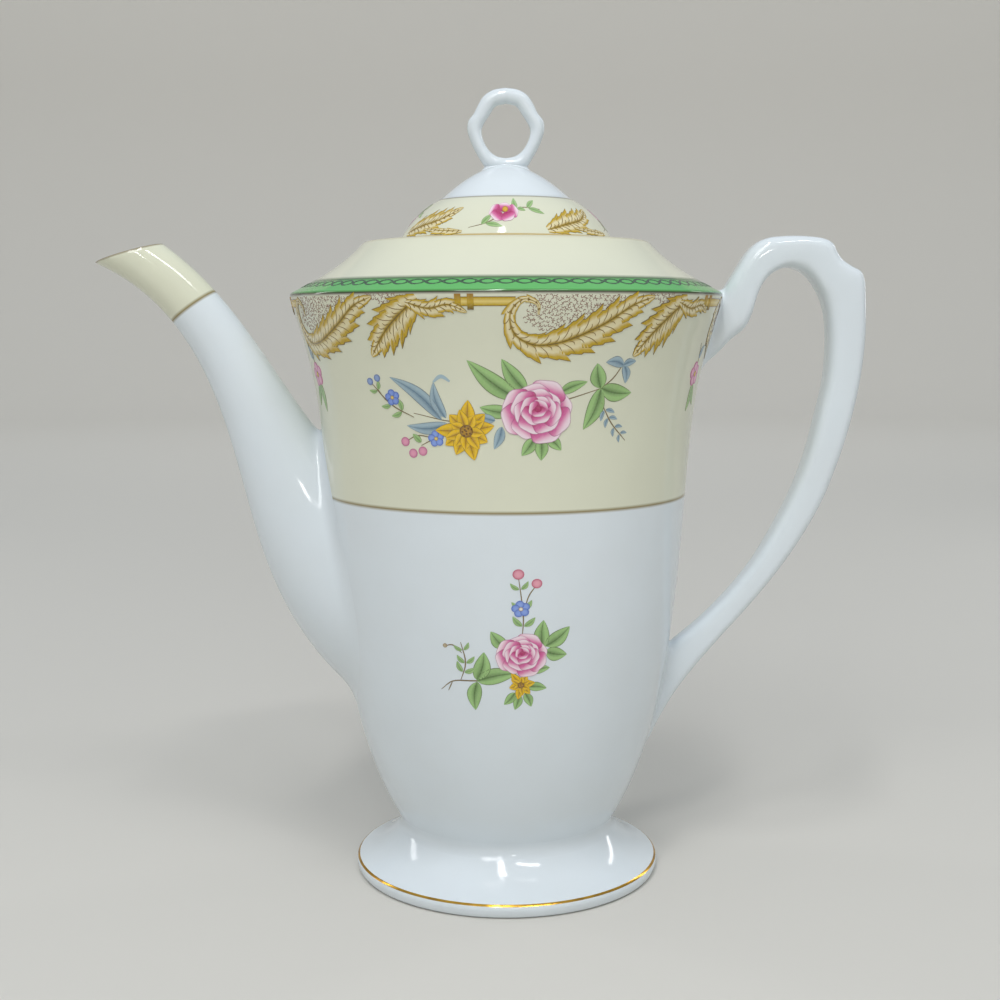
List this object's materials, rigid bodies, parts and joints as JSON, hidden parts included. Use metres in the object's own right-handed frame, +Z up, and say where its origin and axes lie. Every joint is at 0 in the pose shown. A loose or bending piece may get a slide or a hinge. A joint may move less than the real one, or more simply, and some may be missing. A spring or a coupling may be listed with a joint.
{
  "type": "coffee pot",
  "caption": "Footed porcelain coffee pot with a flared body, long curved spout, looped strap handle and a domed lid that lifts off by its ring finial.",
  "frame": {"origin": "on the pot's axis, in the plane of the foot ring that it stands on", "axes": "+Z up along the pot's axis, +X towards the handle, -X towards the spout"},
  "size_m": [0.2078, 0.1164, 0.2147],
  "materials": {
    "white_glaze": "gloss",
    "cream_glaze": "gloss",
    "green_glaze": "gloss",
    "enamel_print": "gloss",
    "gilding": "worn gloss"
  },
  "bodies": {
    "pot": {"body_shell": "white_glaze", "pedestal_foot": "white_glaze", "spout": "white_glaze", "handle": "white_glaze"},
    "lid": {"lid": "white_glaze", "ring_finial": "white_glaze"}
  },
  "joints": [
    {"name": "lid_lift", "type": "slide", "parent": "pot", "child": "lid", "axis": [0, 0, 1], "range_m": [0, 0.06]}
  ]
}
